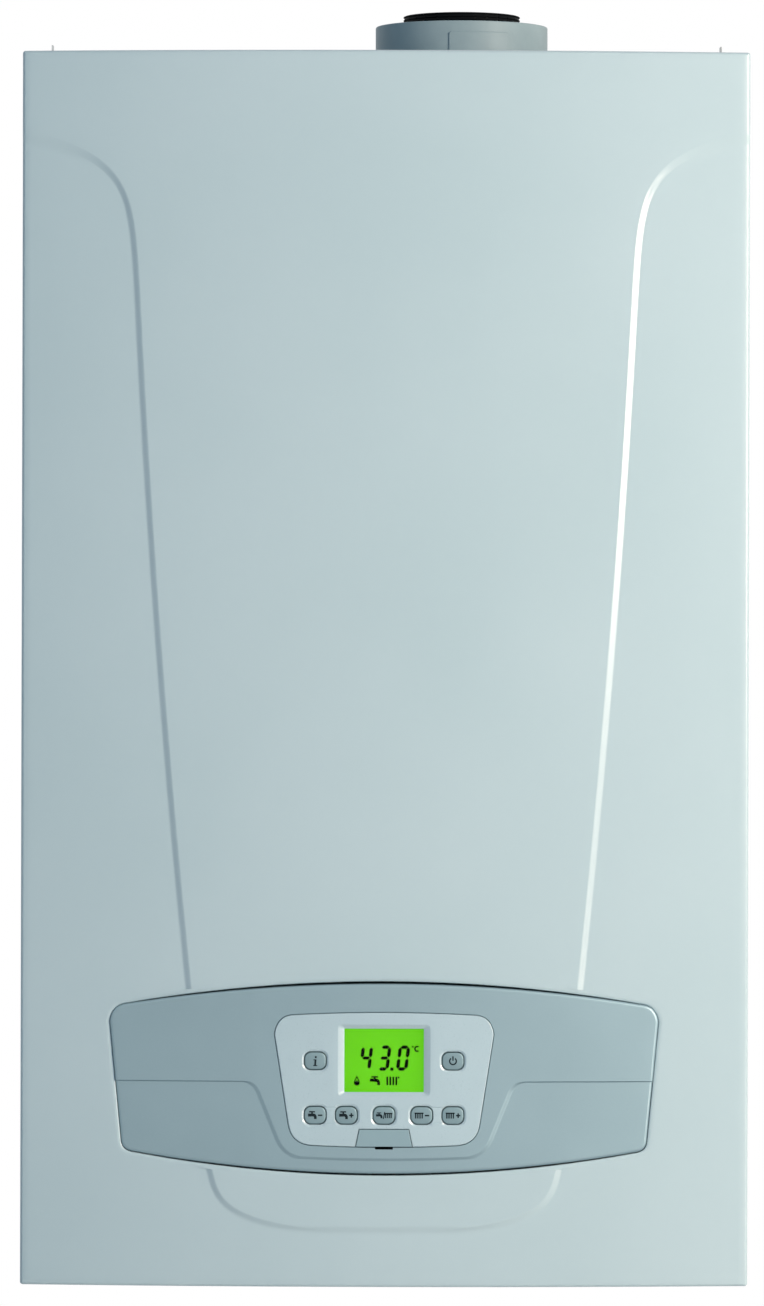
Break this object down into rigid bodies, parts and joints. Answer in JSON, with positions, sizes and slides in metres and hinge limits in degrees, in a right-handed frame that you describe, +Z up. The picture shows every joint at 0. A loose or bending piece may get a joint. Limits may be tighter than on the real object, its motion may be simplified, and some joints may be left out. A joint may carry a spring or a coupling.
{
  "type": "condensing boiler",
  "caption": "Wall-hung condensing boiler with a bowed steel casing, a curved control panel with display and keys, a top flue collar and pipe stubs below.",
  "frame": {"origin": "centre of the casing-high rear face that lies on the wall", "axes": "+Y into the wall, +Z up, +X to the right seen from the front"},
  "size_m": [0.45, 0.3453, 0.8009],
  "materials": {
    "painted_steel": "satin powder coat, cool light grey",
    "galvanised_steel": "folded galvanised sheet",
    "fascia_plastic": "satin moulded ABS, mid grey",
    "plate_plastic": "satin moulded ABS, light grey",
    "key_plastic": "satin moulded ABS, darker grey",
    "display_glass": "clear window",
    "display_green": "lit green liquid-crystal screen",
    "circuit_board": "solder-masked circuit board",
    "box_plastic": "moulded dark grey",
    "foam": "closed-cell foam",
    "cast_collar": "grey painted casting",
    "drum_alloy": "as cast",
    "black_rubber": "moulded rubber",
    "white_plastic": "moulded white polypropylene",
    "red_enamel": "gloss red enamel",
    "ceramic": "glazed white ceramic",
    "black_plastic": "moulded black",
    "brass": "machined brass",
    "pump_grey": "glass-filled grey plastic",
    "red_plastic": "moulded red",
    "copper": "drawn copper tube"
  },
  "bodies": {
    "root": {"left_side_panel": "painted_steel", "right_side_panel": "painted_steel", "top_panel": "painted_steel", "rear_frame": "galvanised_steel", "bottom_plate": "galvanised_steel", "casing_screw_left": "galvanised_steel", "casing_screw_right": "galvanised_steel", "casing_seal": "foam", "flue_collar": "cast_collar", "flue_seal_ring": "black_rubber", "flue_duct": "white_plastic", "heat_exchanger": "drum_alloy", "burner_door": "drum_alloy", "burner_tube": "galvanised_steel", "ignition_electrode": "ceramic", "sensing_electrode": "ceramic", "expansion_vessel": "red_enamel", "fan_housing": "drum_alloy", "fan_motor": "black_plastic", "gas_air_mixer": "white_plastic", "air_silencer": "black_plastic", "gas_valve": "drum_alloy", "gas_pipe": "copper", "flow_pipe": "copper", "return_pipe": "copper", "expansion_hose": "black_rubber", "pump_housing": "pump_grey", "pump_motor": "black_plastic", "air_vent": "brass", "flow_manifold": "brass", "return_manifold": "brass", "diverter_valve_motor": "black_plastic", "plate_heat_exchanger": "galvanised_steel", "safety_valve": "brass", "condensate_trap": "pump_grey", "heating_flow_connector": "brass", "hot_water_connector": "brass", "gas_connector": "brass", "cold_water_connector": "brass", "heating_return_connector": "brass", "fascia": "fascia_plastic", "control_plate": "plate_plastic", "display_lens": "display_glass", "display_module": "display_green", "control_board": "circuit_board", "control_box": "box_plastic"},
    "front_casing": {"front_casing": "painted_steel"},
    "service_flap": {"service_flap": "key_plastic"},
    "power_button": {"power_button": "key_plastic"},
    "mode_button": {"mode_button": "key_plastic"},
    "hot_water_minus_button": {"hot_water_minus_button": "key_plastic"},
    "hot_water_plus_button": {"hot_water_plus_button": "key_plastic"},
    "information_button": {"information_button": "key_plastic"},
    "heating_minus_button": {"heating_minus_button": "key_plastic"},
    "heating_plus_button": {"heating_plus_button": "key_plastic"},
    "fan_impeller": {"fan_impeller": "black_plastic"},
    "pump_impeller": {"pump_impeller": "black_plastic"},
    "diverter_valve_stem": {"diverter_valve_stem": "galvanised_steel"},
    "safety_valve_knob": {"safety_valve_knob": "red_plastic"},
    "filling_tap_knob": {"filling_tap_knob": "black_plastic"}
  },
  "joints": [
    {"name": "casing_tilt", "type": "hinge", "parent": "root", "child": "front_casing", "pos_m": [0, -0.3, 0.3815], "axis": [-1, 0, 0], "range_deg": [0, 15]},
    {"name": "flap_hinge", "type": "hinge", "parent": "root", "child": "service_flap", "pos_m": [0, -0.34405, -0.28485], "axis": [-1, 0, 0], "range_deg": [0, 90]},
    {"name": "power_press", "type": "slide", "parent": "root", "child": "power_button", "axis": [0, 1, 0], "range_m": [0, 0.0012], "stiffness_N_per_m": 300, "springref_m": -0.001},
    {"name": "mode_press", "type": "slide", "parent": "root", "child": "mode_button", "axis": [0, 1, 0], "range_m": [0, 0.0012], "stiffness_N_per_m": 300, "springref_m": -0.001},
    {"name": "hot_water_minus_press", "type": "slide", "parent": "root", "child": "hot_water_minus_button", "axis": [0, 1, 0], "range_m": [0, 0.0012], "stiffness_N_per_m": 300, "springref_m": -0.001},
    {"name": "hot_water_plus_press", "type": "slide", "parent": "root", "child": "hot_water_plus_button", "axis": [0, 1, 0], "range_m": [0, 0.0012], "stiffness_N_per_m": 300, "springref_m": -0.001},
    {"name": "information_press", "type": "slide", "parent": "root", "child": "information_button", "axis": [0, 1, 0], "range_m": [0, 0.0012], "stiffness_N_per_m": 300, "springref_m": -0.001},
    {"name": "heating_minus_press", "type": "slide", "parent": "root", "child": "heating_minus_button", "axis": [0, 1, 0], "range_m": [0, 0.0012], "stiffness_N_per_m": 300, "springref_m": -0.001},
    {"name": "heating_plus_press", "type": "slide", "parent": "root", "child": "heating_plus_button", "axis": [0, 1, 0], "range_m": [0, 0.0012], "stiffness_N_per_m": 300, "springref_m": -0.001},
    {"name": "fan_spin", "type": "hinge", "parent": "root", "child": "fan_impeller", "pos_m": [0.12, -0.21, 0.03], "axis": [0, 1, 0], "continuous": true},
    {"name": "pump_spin", "type": "hinge", "parent": "root", "child": "pump_impeller", "pos_m": [0.148, -0.16, -0.286], "axis": [0, 1, 0], "continuous": true},
    {"name": "diverter_travel", "type": "slide", "parent": "root", "child": "diverter_valve_stem", "axis": [0, 0, -1], "range_m": [0, 0.008], "stiffness_N_per_m": 200, "springref_m": -0.005},
    {"name": "safety_knob_turn", "type": "hinge", "parent": "root", "child": "safety_valve_knob", "pos_m": [-0.172, -0.1756, -0.29], "axis": [0, -1, 0], "range_deg": [0, 90]},
    {"name": "filling_knob_turn", "type": "hinge", "parent": "root", "child": "filling_tap_knob", "pos_m": [-0.168, -0.11, -0.35], "axis": [0, 0, 1], "range_deg": [0, 180]}
  ]
}
